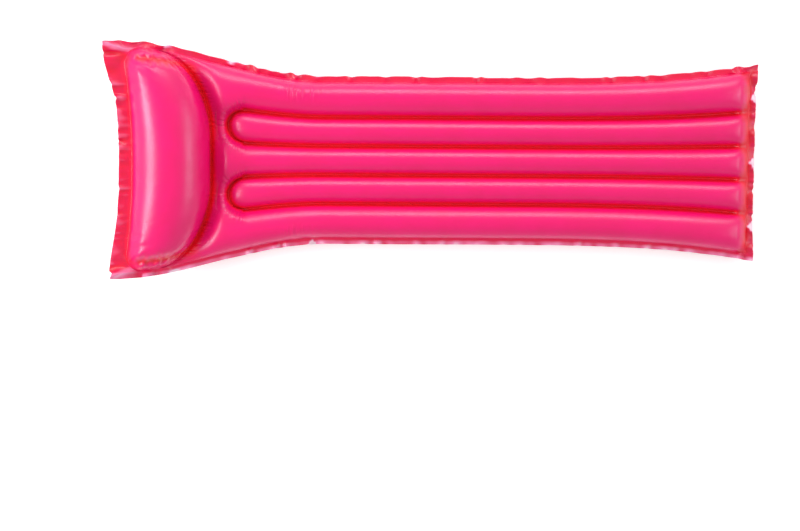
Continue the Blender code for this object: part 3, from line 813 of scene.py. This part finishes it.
def simulated(s, plan, welded, films, height, waves, ends, sizes):
    """The top and bottom film after the cloth simulation. Their welds share points, and a tremble
    of the free film, random but seeded, lets it buckle."""
    free = np.flatnonzero(~welded.ravel())
    under = np.arange(s.size)
    under[free] = s.size + np.arange(len(free))
    cells = grid_cells(s.shape)
    pressed = welded.ravel()[cells].all(axis=1)
    faces = np.concatenate([cells, under[cells[~pressed]][:, ::-1]])
    cut = cut_shape(s, plan, height, waves, ends, sizes).reshape(-1, 3)
    cut = np.concatenate([cut, cut[free]])
    tremble = np.random.default_rng(5).normal(0.0, TREMBLE, s.shape)
    films[..., 2] += np.where(welded, 0.0, tremble)
    top, bottom = films.reshape(2, -1, 3)
    on_weld = np.concatenate([welded.ravel(), np.zeros(len(free), bool)])
    moved = inflated(np.concatenate([top, bottom[free]]), cut, faces, on_weld, sizes)
    return np.stack([moved[: s.size], moved[under]]).reshape(films.shape)


def bent_place(points):
    """World places of plan points (s, y, z): the middle plane is straight in the body, with the
    slope at which it meets the floor, and in the pillow, with an arc between them that is sharp
    at the middle of their weld and SIDE_BEND long at the sides."""
    s, y, z = points[..., 0], points[..., 1], points[..., 2]
    share = np.abs(y) / weld_half_width(s) - PILLOW_END_START
    length = np.maximum(SIDE_BEND * smoothstep(share * SIDE_BEND_GROWTH), 1e-6)
    curve = (PILLOW_TILT - BODY_SLOPE) / length
    body = np.maximum(s, length / 2)
    angle = BODY_SLOPE + curve * np.clip(length / 2 - s, 0.0, length)
    pillow = np.clip(-s - length / 2, 0.0, None)
    run, rise = math.cos(BODY_SLOPE), math.sin(BODY_SLOPE)
    x = body * run - (np.sin(angle) - rise) / curve - pillow * math.cos(PILLOW_TILT)
    up = (run - np.cos(angle)) / curve - body * rise + pillow * math.sin(PILLOW_TILT)
    x = x + HINGE[0] + z * np.sin(angle)
    return np.stack([x, y, HINGE[2] + up + z * np.cos(angle)], axis=-1)


def valve_rings(border, seat):
    """Rings of points from a border round a valve inwards: along the flat seat to the hole, and
    behind it into the chamber, where a round pocket keeps the skin closed behind the valve.

    Each ring is a circle in the seat's plane, at the border's own angles.
    """
    centre, outward = np.array(seat[0]), np.array(seat[1])
    across = np.array([0.0, 1.0, 0.0])
    along = np.cross(across, outward)
    off = border - centre
    angle = np.arctan2(off @ across, off @ along)
    circle = np.cos(angle)[:, None] * along + np.sin(angle)[:, None] * across
    # Radius and depth: the seat, the film's edge 0.3 mm thick, the room's wall and its end
    steps = [
        (SEAT_RADIUS, 0.0),
        (SEAT_RADIUS * 0.86, 0.0),
        (HOLE_RADIUS * 1.12, 0.0),
        (HOLE_RADIUS, 0.0),
        (HOLE_RADIUS, -0.00028),
        (HOLE_RADIUS * 1.1, -0.0003),
        (ROOM_RADIUS, -0.0003),
        (ROOM_RADIUS, -0.0020),
        (ROOM_RADIUS * 0.72, -ROOM_DEPTH),
        (ROOM_RADIUS * 0.3, -ROOM_DEPTH),
    ]
    return [centre + radius * circle + depth * outward for radius, depth in steps]


def film_skin(s, top, bottom):
    """Points and faces of the closed skin: the top film, the bottom film with its two valve
    openings, and a narrow band round the cut edge that joins them. Also which points of both
    grids and of the rings after them are used."""
    shape = s.shape
    count = s.size
    number = np.arange(count).reshape(shape)
    cells = grid_cells(shape)
    middle = shape[1] // 2
    points = [top.reshape(-1, 3), bottom.reshape(-1, 3)]
    under = cells[:, ::-1] + count
    keep = np.ones(shape, bool)[:-1, :-1]
    start = 2 * count
    extra = []
    for seat, half_rows in SEATS:
        station = int(np.abs(s[:, middle] - seat[2]).argmin())
        step = s[station + 1, middle] - s[station, middle]
        reach = math.ceil((SEAT_RADIUS + SEAT_ROOM) / step)
        low, high = station - reach, station + reach
        left, right = middle - half_rows, middle + half_rows
        keep[low:high, left:right] = False
        border = ring_round(number[low : high + 1, left : right + 1])
        loop = border + count
        for ring in valve_rings(points[1][border], seat):
            new = start + np.arange(len(ring))
            extra.append(np.stack([loop, new, np.roll(new, -1), np.roll(loop, -1)], axis=1))
            points.append(ring)
            start += len(ring)
            loop = new
        points.append(points[-1].mean(axis=0, keepdims=True))
        extra.append(np.stack([loop, np.full(len(loop), start), np.roll(loop, -1)], axis=1))
        start += 1
    rim = ring_round(number)
    after = np.roll(rim, -1)
    band = np.stack([rim, rim + count, after + count, after], axis=1)
    faces = [cells, under[keep.ravel()], *extra, band]
    used = np.unique(np.concatenate([group.ravel() for group in faces]))
    return np.concatenate(points)[used], [np.searchsorted(used, group) for group in faces], used


def linear(hex_colour):
    """Linear colour of an sRGB hex value: each channel by the sRGB curve."""
    code = hex_colour.lstrip("#")
    channels = [int(code[k : k + 2], 16) / 255 for k in (0, 2, 4)]
    return tuple(c / 12.92 if c <= 0.04045 else ((c + 0.055) / 1.055) ** 2.4 for c in channels)


def node(tree, kind, settings=None, inputs=None, links=None):
    """Adds a node with its settings, its sockets' values and the sockets that feed it."""
    made = tree.nodes.new(kind)
    for name, value in (settings or {}).items():
        setattr(made, name, value)
    for name, value in (inputs or {}).items():
        made.inputs[name].default_value = value
    for name, source in (links or {}).items():
        tree.links.new(source, made.inputs[name])
    return made


def new_material(name):
    """A material without nodes but its output, its tree and that output's surface socket."""
    made = bpy.data.materials.new(name)
    made.use_nodes = True
    tree = made.node_tree
    tree.nodes.clear()
    return made, tree, tree.nodes.new("ShaderNodeOutputMaterial").inputs["Surface"]


def welded_vinyl_film(colour, weld_red_and_glow_colour, edge_colour):
    """Soft PVC film 0.3 mm thick, calendered glossy and welded by high frequency.

    To the eye it is saturated and smooth, with long soft reflections. Light that has passed it
    turns red, so the doubled film at the welds and in the free edges looks redder. Up the walls of
    the grooves that red is painted on as a glow, and the folds get painted highlights and painted
    shade. Beside a weld the air draws it into fine ticks.
    """
    made, tree, surface = new_material("welded_vinyl_film")
    facts = {}
    for name in ("weld_red_and_painted_glow", "free_edge", "painted_light_and_shade", "weld_place", "gather"):
        held = node(tree, "ShaderNodeAttribute", {"attribute_name": name})
        facts[name] = held.outputs["Fac"]
    place = node(tree, "ShaderNodeTexCoord").outputs["Object"]
    # Lengths in mm: the film's thickness wanders over about 60, the calendered film ripples
    # slowly at about 35, and the rollers' grain of 0.6, too fine to show, is drawn at 1.5
    noise = {}
    for name, length, detail, roughness in (
        ("cloud", 60, 2.0, 0.5),
        ("ripple", 35, 1.0, 0.4),
        ("grain", 1.5, 1.0, 0.5),
    ):
        values = {"Scale": 1000 / length, "Detail": detail, "Roughness": roughness}
        made_noise = node(tree, "ShaderNodeTexNoise", None, values, {"Vector": place})
        noise[name] = made_noise.outputs["Fac"]
    # How far each colour comes in, and the roughness: the source's range and the result's
    ramps = {}
    for name, source, low, high, first, last in (
        ("tint", noise["cloud"], 0.35, 0.65, 0.0, 1.0),
        ("painted_highlight", facts["painted_light_and_shade"], 0.05, 1.2, 0.0, 0.9),
        ("painted_shade", facts["painted_light_and_shade"], -0.05, -0.9, 0.0, 0.8),
        # The white painted glint where a dart turns its shiny side up
        ("turned", facts["painted_light_and_shade"], 1.2, 1.9, 0.0, 0.9),
        ("rough", noise["cloud"], 0.3, 0.7, 0.30, 0.36),
    ):
        values = {"From Min": low, "From Max": high, "To Min": first, "To Max": last}
        ramp = node(tree, "ShaderNodeMapRange", None, values, {"Value": source})
        ramps[name] = ramp.outputs["Result"]
    # The film's colour, a little deeper where it is thicker, then the doubled film's red at the
    # welds with a painted red glow up the grooves, and the redder free edges, then painted light
    # and shade
    # on the folds: a painted highlight on ridges, painted shade in valleys and where the film
    # dives to a weld, and a nearly white painted glint where a dart turns its shiny side up
    deeper = [channel * share for channel, share in zip(colour, (0.96, 0.80, 0.90))]
    base = node(tree, "ShaderNodeRGB").outputs["Color"]
    base.default_value = (*colour, 1.0)
    for share, over in (
        (ramps["tint"], deeper),
        (facts["weld_red_and_painted_glow"], weld_red_and_glow_colour),
        (facts["free_edge"], edge_colour),
        (ramps["painted_highlight"], linear("#F088B4")),
        (ramps["painted_shade"], linear("#D40A26")),
        (ramps["turned"], linear("#F2D2DF")),
    ):
        links = {"Factor": share, "A": base}
        mix = node(tree, "ShaderNodeMix", {"data_type": "RGBA"}, {"B": (*over, 1.0)}, links)
        base = mix.outputs["Result"]
    # Ticks beside welds, about 8 mm from one to the next along the weld
    count = node(
        tree, "ShaderNodeMath", {"operation": "MULTIPLY"}, {1: 1000 / 8}, {0: facts["weld_place"]}
    )
    ticks = node(
        tree,
        "ShaderNodeTexNoise",
        {"noise_dimensions": "1D"},
        {"Scale": 1.0, "Detail": 1.0},
        {"W": count.outputs["Value"]},
    )
    links = {0: ticks.outputs["Fac"], 1: facts["gather"]}
    beside = node(tree, "ShaderNodeMath", {"operation": "MULTIPLY"}, None, links)
    # The relief, from the slowest to the finest: each one's height, strength and distance
    normal = {}
    for height, strength, distance in (
        (noise["ripple"], 0.4, 0.0005),
        (beside.outputs["Value"], 1.0, 0.0050),
        (noise["grain"], 0.08, 0.0002),
    ):
        values = {"Strength": strength, "Distance": distance}
        bump = node(tree, "ShaderNodeBump", None, values, {"Height": height, **normal})
        normal = {"Normal": bump.outputs["Normal"]}
    # The tint takes some red off the reflections, which look cool on the real film
    finish = {
        "IOR": 1.53,
        "Specular IOR Level": 0.50,
        "Specular Tint": (0.30, 0.95, 1.0, 1.0),
        "Subsurface Weight": 0.1,
        "Subsurface Radius": (0.010, 0.003, 0.004),
        "Subsurface Scale": 1.0,
    }
    links = {"Base Color": base, "Roughness": ramps["rough"], **normal}
    shader = node(tree, "ShaderNodeBsdfPrincipled", None, finish, links)
    tree.links.new(shader.outputs["BSDF"], surface)
    return made


def moulded_clear_vinyl(colour):
    """Soft clear PVC, injection moulded: milky, a little cloudy, satin from the mould."""
    made, tree, surface = new_material("moulded_clear_vinyl")
    place = node(tree, "ShaderNodeTexCoord").outputs["Object"]
    # Flow clouds of the melt, about 6 mm across, and the mould's satin of 0.3, drawn at 0.5
    cloud, satin = (
        node(tree, "ShaderNodeTexNoise", None, values, {"Vector": place}).outputs["Fac"]
        for values in ({"Scale": 1000 / 6, "Detail": 2.0}, {"Scale": 1000 / 0.5, "Detail": 1.0})
    )
    milky = [min(1.0, channel * 1.06) for channel in colour]
    values = {"A": (*colour, 1.0), "B": (*milky, 1.0)}
    body = node(tree, "ShaderNodeMix", {"data_type": "RGBA"}, values, {"Factor": cloud})
    values = {"From Min": 0.3, "From Max": 0.7, "To Min": 0.28, "To Max": 0.38}
    rough = node(tree, "ShaderNodeMapRange", None, values, {"Value": cloud})
    values = {"Strength": 0.2, "Distance": 0.0001}
    skin = node(tree, "ShaderNodeBump", None, values, {"Height": satin})
    finish = {
        "IOR": 1.53,
        "Subsurface Weight": 0.4,
        "Subsurface Radius": (0.004, 0.003, 0.003),
        "Subsurface Scale": 1.0,
    }
    links = {
        "Base Color": body.outputs["Result"],
        "Roughness": rough.outputs["Result"],
        "Normal": skin.outputs["Normal"],
    }
    shader = node(tree, "ShaderNodeBsdfPrincipled", None, finish, links)
    tree.links.new(shader.outputs["BSDF"], surface)
    return made


def white_paper_floor(colour, lift):
    """Matt white background paper. Seen directly, by reflection or through something it is lifted
    to full white, and it keeps the object's shadow."""
    made, tree, surface = new_material("white_paper_floor")
    rays = node(tree, "ShaderNodeLightPath").outputs
    seen = rays["Is Camera Ray"]
    for other in ("Is Glossy Ray", "Is Transmission Ray"):
        links = {0: seen, 1: rays[other]}
        seen = node(tree, "ShaderNodeMath", {"operation": "MAXIMUM"}, None, links).outputs["Value"]
    strength = node(tree, "ShaderNodeMath", {"operation": "MULTIPLY"}, {1: lift}, {0: seen})
    paper = node(tree, "ShaderNodeBsdfDiffuse", None, {"Color": (*colour, 1.0)})
    links = {"Strength": strength.outputs["Value"]}
    glow = node(tree, "ShaderNodeEmission", None, None, links)
    links = {0: paper.outputs["BSDF"], 1: glow.outputs["Emission"]}
    both = node(tree, "ShaderNodeAddShader", None, None, links)
    tree.links.new(both.outputs["Shader"], surface)
    return made


class FilmSettings(PropertyGroup):
    """Sizes and finish of the mattress film."""

    colour: StringProperty(
        name="Film colour", description="Pink of the film, sRGB", default="#E40768"
    )
    # Red of the doubled film at the welds, also painted up the grooves as a glow of light passed
    # through the film
    weld_red_and_glow_colour: StringProperty(
        name="Weld colour", description="Red of the doubled film at the welds, sRGB",
        default="#F61C30"
    )
    edge_colour: StringProperty(
        name="Edge colour", description="Colour of the free edges, sRGB", default="#D60A46"
    )
    air_pressure: FloatProperty(
        name="Air pressure", description="Pressure force of the cloth simulation", default=4.0
    )
    slack: FloatProperty(
        name="Slack", description="Share by which the cut film is larger than the inflated form",
        default=0.004, subtype="FACTOR"
    )
    spare_film: FloatProperty(
        name="Spare film", description="Height of the waves in the cut film beside welds",
        default=0.0012, unit="LENGTH"
    )
    side_wave: FloatProperty(
        name="Side wave", description="Height of the side edges' waves", default=0.0088,
        unit="LENGTH"
    )
    side_wave_length: FloatProperty(
        name="Side wave length", description="Length of the side edges' waves", default=0.076,
        unit="LENGTH"
    )
    head_wave: FloatProperty(
        name="Head wave", description="Height of the head edge's waves", default=0.0095,
        unit="LENGTH"
    )
    head_wave_length: FloatProperty(
        name="Head wave length", description="Length of the head edge's waves", default=0.052,
        unit="LENGTH"
    )
    foot_wave: FloatProperty(
        name="Foot wave", description="Height of the foot edge's pleats", default=0.016,
        unit="LENGTH"
    )
    corner_fold: FloatProperty(
        name="Corner fold", description="Height of the folds round the corners", default=0.0060,
        unit="LENGTH"
    )
    corner_roll: FloatProperty(
        name="Corner roll", description="Height of the roll at each head corner", default=0.007,
        unit="LENGTH"
    )
    pillow_wrinkle: FloatProperty(
        name="Pillow wrinkle", description="Height of the wrinkles round the pillow's ends",
        default=0.0060, unit="LENGTH"
    )
    pillow_wrinkle_length: FloatProperty(
        name="Pillow wrinkle length",
        description="Length from wrinkle to wrinkle round the pillow's ends", default=0.029,
        unit="LENGTH"
    )
    most_move: FloatProperty(
        name="Most movement", description="How far the simulation may move a point of the film",
        default=0.014, unit="LENGTH"
    )
    cloth_spells: IntProperty(
        name="Cloth spells", description="Spells of the cloth simulation", default=3, min=1
    )
    cloth_frames: IntProperty(
        name="Cloth frames", description="Frames in each spell of the simulation", default=5, min=1
    )


class ValveSettings(PropertyGroup):
    """Finish of the valves."""

    colour: StringProperty(
        name="Valve colour", description="Milky clear vinyl of the valves, sRGB", default="#F3DDE4"
    )


class StageSettings(PropertyGroup):
    """Floor, lights and camera."""

    floor_colour: StringProperty(
        name="Floor colour", description="Paper floor, sRGB", default="#F2F2F2"
    )
    floor_lift: FloatProperty(
        name="Floor lift", description="Light added to the floor where it is seen", default=0.30
    )
    camera_distance: FloatProperty(
        name="Camera distance", description="From the middle of the view", default=5.0,
        unit="LENGTH"
    )
    camera_tilt: FloatProperty(
        name="Camera tilt",
        description="Tilt of the view from straight down, towards the image's top side",
        default=math.radians(6.2), subtype="ANGLE"
    )
    camera_roll: FloatProperty(
        name="Camera roll", description="Turn of the image, which puts the foot end lower",
        default=math.radians(0.42), subtype="ANGLE"
    )
    view_middle: FloatVectorProperty(
        name="View middle", description="Point of the floor in the middle of the image",
        default=(-0.0929, -0.2822, 0.03), size=3, subtype="XYZ"
    )
    view_width: FloatProperty(
        name="View width", description="Width of the image at that point", default=2.143,
        unit="LENGTH"
    )
    long_lamp: FloatProperty(
        name="Long lamp", description="Power of the lamp beside it, W", default=14.0
    )
    head_lamp: FloatProperty(
        name="Head lamp", description="Power of the lamp at its head, W", default=12.5
    )
    foot_lamp: FloatProperty(
        name="Foot lamp", description="Power of the lamp at its foot, W", default=6.0
    )
    wall_light: FloatProperty(
        name="Wall light", description="Strength of the white walls", default=0.82
    )
    ceiling_light: FloatProperty(
        name="Ceiling light", description="Strength of the ceiling straight above", default=0.52
    )


def film_mesh(s, plan, top, bottom, looks):
    """The skin as a smooth mesh, with its attributes and with its plan as UV. The rings at the
    valves have attributes of 0."""
    points, faces, used = film_skin(s, top, bottom)
    mesh = bpy.data.meshes.new("mattress_film")
    mesh.from_pydata(points.tolist(), [], [face for group in faces for face in group.tolist()])
    mesh.validate()
    mesh.shade_smooth()
    grids = used[used < 2 * s.size] % s.size
    added = np.zeros(len(points) - len(grids))
    for name, values in looks.items():
        held = mesh.attributes.new(name, "FLOAT", "POINT").data
        held.foreach_set("value", np.concatenate([values.ravel()[grids], added]))
    flat = np.concatenate([plan.reshape(-1, 2)[grids], points[len(grids) :, :2]])
    corner = np.empty(len(mesh.loops), np.int32)
    mesh.loops.foreach_get("vertex_index", corner)
    mesh.uv_layers.new(name="plan").data.foreach_set("uv", flat[corner].ravel())
    return mesh


class MATTRESS_OT_film(Operator):
    """Make the mattress film: both films with their welds, pillow, channels, waves and creases"""

    bl_idname = "air_mattress.film"
    bl_label = "Mattress film"

    def execute(self, context):
        sizes = context.scene.mattress_film
        s, v, welded, ends = film_grid()
        plan = plan_points(s, v)
        height = drawn_film(s, v, plan, air_height(plan, welded), sizes)
        waves = flange_waves(s, v, sizes)
        reach = drawn_in(s, v, plan, waves)
        films = np.stack([
            np.concatenate([reach, up[..., None]], axis=-1)
            for up in (height + waves, waves - height)
        ])
        films = simulated(s, plan, welded, films, height, waves, ends, sizes)
        films[0, ..., 2] += HALF_WELD
        films[1, ..., 2] -= HALF_WELD
        films = bent_place(films)
        films[..., 2] = np.maximum(films[..., 2], 0.0)
        looks = film_looks(s, v, plan, height, sizes)
        mesh = film_mesh(s, plan, films[0], films[1], looks)
        colours = (sizes.colour, sizes.weld_red_and_glow_colour, sizes.edge_colour)
        mesh.materials.append(welded_vinyl_film(*[linear(colour) for colour in colours]))
        obj = bpy.data.objects.new("mattress_film", mesh)
        context.scene.collection.objects.link(obj)
        smooth = obj.modifiers.new("smooth", "SUBSURF")
        smooth.levels = smooth.render_levels = 1
        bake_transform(obj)
        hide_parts(*FILM_NODES)
        return {"FINISHED"}


class MATTRESS_OT_valves(Operator):
    """Give both valves' mouldings their finish"""

    bl_idname = "air_mattress.valves"
    bl_label = "Valves"

    def execute(self, context):
        look = moulded_clear_vinyl(linear(context.scene.mattress_valves.colour))
        for name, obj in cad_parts.items():
            if "_valve_" in name:
                for holder in obj.material_slots:
                    holder.material = look
        return {"FINISHED"}


def white_room(wall_light, ceiling_light):
    """A world of white walls all round, under a ceiling that is darker above the mattress, by a
    smooth step over the height of the view. Seen directly, all of it is full white."""
    world = bpy.data.worlds.new("white_room")
    world.use_nodes = True
    tree = world.node_tree
    room = tree.nodes["Background"]
    room.inputs["Color"].default_value = (1.0, 1.0, 1.0, 1.0)
    way = node(tree, "ShaderNodeTexCoord").outputs["Generated"]
    axes = node(tree, "ShaderNodeSeparateXYZ", None, None, {"Vector": way})
    light = node(
        tree,
        "ShaderNodeMapRange",
        {"interpolation_type": "SMOOTHSTEP"},
        {"From Min": 0.0, "From Max": 0.97, "To Min": wall_light, "To Max": ceiling_light},
        {"Value": axes.outputs["Z"]},
    )
    rays = node(tree, "ShaderNodeLightPath")
    links = {0: light.outputs["Result"], 1: rays.outputs["Is Camera Ray"]}
    seen = node(tree, "ShaderNodeMath", {"operation": "MAXIMUM"}, None, links)
    tree.links.new(seen.outputs["Value"], room.inputs["Strength"])
    return world


class MATTRESS_OT_stage(Operator):
    """Set up the pale floor, the soft lamps and the camera"""

    bl_idname = "air_mattress.stage"
    bl_label = "Stage"

    def execute(self, context):
        scene = context.scene
        sizes = scene.mattress_stage
        mesh = bpy.data.meshes.new("floor")
        square = [(-1, -1), (1, -1), (1, 1), (-1, 1)]
        corners = [(x * FLOOR_REACH, y * FLOOR_REACH, 0) for x, y in square]
        mesh.from_pydata(corners, [], [(0, 1, 2, 3)])
        mesh.materials.append(white_paper_floor(linear(sizes.floor_colour), sizes.floor_lift))
        floor = bpy.data.objects.new("floor", mesh)
        scene.collection.objects.link(floor)
        scene.world = white_room(sizes.wall_light, sizes.ceiling_light)

        # A long soft box beside the mattress on the image's top side and one beyond each end:
        # place, target, size in metres and power
        lamps = [
            ("long_soft_box", (0.0, 2.3, 1.5), (0.0, 0.0, 0.05), (4.0, 0.95), sizes.long_lamp),
            ("head_soft_box", (-2.4, 0.0, 1.35), (-0.6, 0.0, 0.05), (2.2, 0.8), sizes.head_lamp),
            ("foot_soft_box", (2.2, 0.0, 1.6), (-0.3, 0.0, 0.05), (2.2, 1.2), sizes.foot_lamp),
        ]
        for name, place, target, size, power in lamps:
            lamp = bpy.data.lights.new(name, "AREA")
            lamp.shape = "RECTANGLE"
            lamp.size, lamp.size_y = size
            lamp.energy = power
            lamp.spread = math.radians(80)
            box = bpy.data.objects.new(name, lamp)
            scene.collection.objects.link(box)
            box.location = place
            aim = Vector(target) - box.location
            box.rotation_euler = aim.to_track_quat("-Z", "Y").to_euler()

        camera = bpy.data.cameras.new("camera")
        camera.sensor_width = 36.0
        camera.lens = camera.sensor_width * sizes.camera_distance / sizes.view_width
        camera.clip_end = 100.0
        holder = bpy.data.objects.new("camera", camera)
        scene.collection.objects.link(holder)
        scene.camera = holder
        # Looking down, image top to +Y, tilted about X and turned about the view
        tilt = Matrix.Rotation(-sizes.camera_tilt, 4, "X")
        turn = tilt @ Matrix.Rotation(sizes.camera_roll, 4, "Z")
        middle = Matrix.Translation(Vector(sizes.view_middle))
        holder.matrix_world = middle @ turn @ Matrix.Translation((0.0, 0.0, sizes.camera_distance))
        scene.view_settings.view_transform = "Standard"
        return {"FINISHED"}


class MATTRESS_PT_pieces(Panel):
    """Lists the pieces and their settings"""

    bl_label = "Pool air mattress"
    bl_idname = "MATTRESS_PT_pieces"
    bl_space_type = "VIEW_3D"
    bl_region_type = "UI"
    bl_category = "Air mattress"

    def draw(self, context):
        for settings, _, operator in PIECES:
            box = self.layout.box()
            box.operator(operator.bl_idname)
            group = getattr(context.scene, settings)
            for name in group.bl_rna.properties.keys():
                if name not in ("rna_type", "name"):
                    box.prop(group, name)


PIECES = (
    ("mattress_stage", StageSettings, MATTRESS_OT_stage),
    ("mattress_film", FilmSettings, MATTRESS_OT_film),
    ("mattress_valves", ValveSettings, MATTRESS_OT_valves),
)
CLASSES = [made for _, *pair in PIECES for made in pair] + [MATTRESS_PT_pieces]


def register():
    for made in CLASSES:
        bpy.utils.register_class(made)
    for name, group, _ in PIECES:
        setattr(bpy.types.Scene, name, PointerProperty(type=group))


def unregister():
    for name, _, _ in PIECES:
        delattr(bpy.types.Scene, name)
    for made in reversed(CLASSES):
        bpy.utils.unregister_class(made)


def main():
    register()
    bpy.ops.air_mattress.stage()
    bpy.ops.air_mattress.film()
    bpy.ops.air_mattress.valves()


if __name__ == "__main__":
    main()
